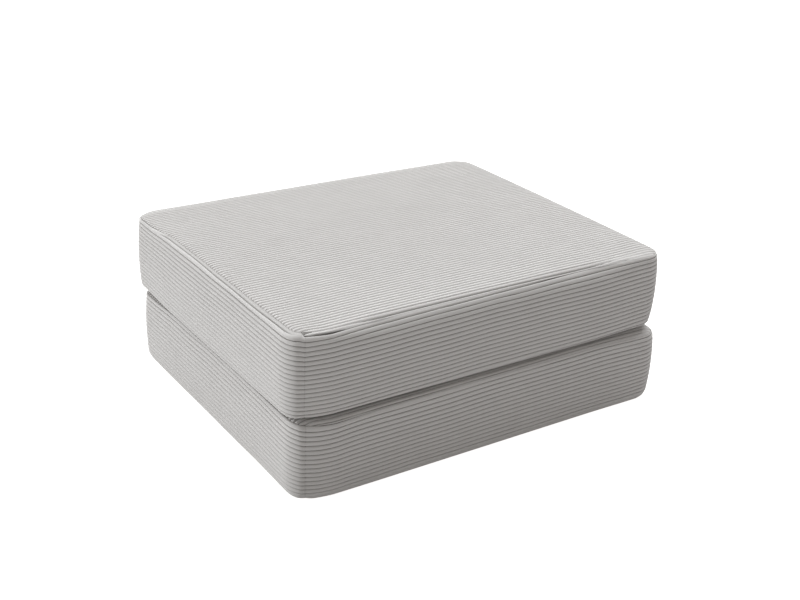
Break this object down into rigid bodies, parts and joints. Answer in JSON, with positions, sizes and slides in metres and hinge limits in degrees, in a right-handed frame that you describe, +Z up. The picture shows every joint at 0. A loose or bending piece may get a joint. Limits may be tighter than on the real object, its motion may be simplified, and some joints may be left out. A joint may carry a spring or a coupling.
{
  "type": "convertible pouf bed",
  "caption": "Folded pouf bed: thick soft rectangular halves in wide-wale corduroy, stacked, with rounded corners and a cloth hinge at one short end; opens flat into a bed.",
  "frame": {"origin": "on the floor, at the middle of the folded pouf's base", "axes": "+X along the long front edge towards the hinged end, +Y from the front to the back, +Z up"},
  "size_m": [1, 0.834, 0.3793],
  "materials": {
    "corduroy": "matte light warm grey wide-wale corduroy with a short soft pile",
    "hinge_cloth": "matte light warm grey corduroy strip"
  },
  "bodies": {
    "root": {"lower_half": "corduroy", "upper_half": "corduroy", "hinge_strip": "hinge_cloth"}
  },
  "joints": []
}
